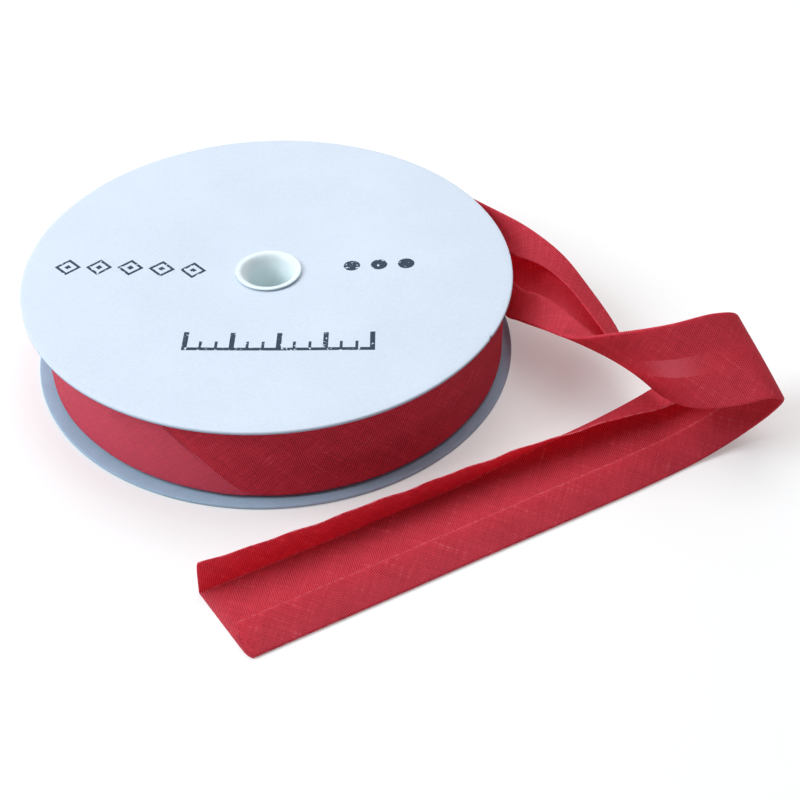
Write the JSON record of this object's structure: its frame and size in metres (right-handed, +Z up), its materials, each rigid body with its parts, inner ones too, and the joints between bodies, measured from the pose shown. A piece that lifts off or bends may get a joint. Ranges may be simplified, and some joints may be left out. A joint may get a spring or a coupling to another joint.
{
  "type": "roll of bias binding",
  "caption": "Folded bias tape wound between two card discs on a flared plastic hub, with a loose tail that turns over and lies in front.",
  "frame": {"origin": "on the table, under the middle of the box of the whole part", "axes": "+Z up along the reel's axis, +X to the right of the tail's turns, +Y away from the cut end of the tail"},
  "size_m": [0.1456, 0.1344, 0.0271],
  "materials": {
    "top_card": "matt white paper face on grey board",
    "bottom_card": "uncoated grey board, matt",
    "hub_plastic": "white moulded plastic, semi-gloss",
    "wound_tape": "plain-woven bias-cut cotton blend, matt",
    "loose_tape": "plain-woven bias-cut cotton blend, matt"
  },
  "bodies": {
    "root": {"top_disc": "top_card", "bottom_disc": "bottom_card", "hub": "hub_plastic", "winding": "wound_tape", "tail": "loose_tape"}
  },
  "joints": []
}
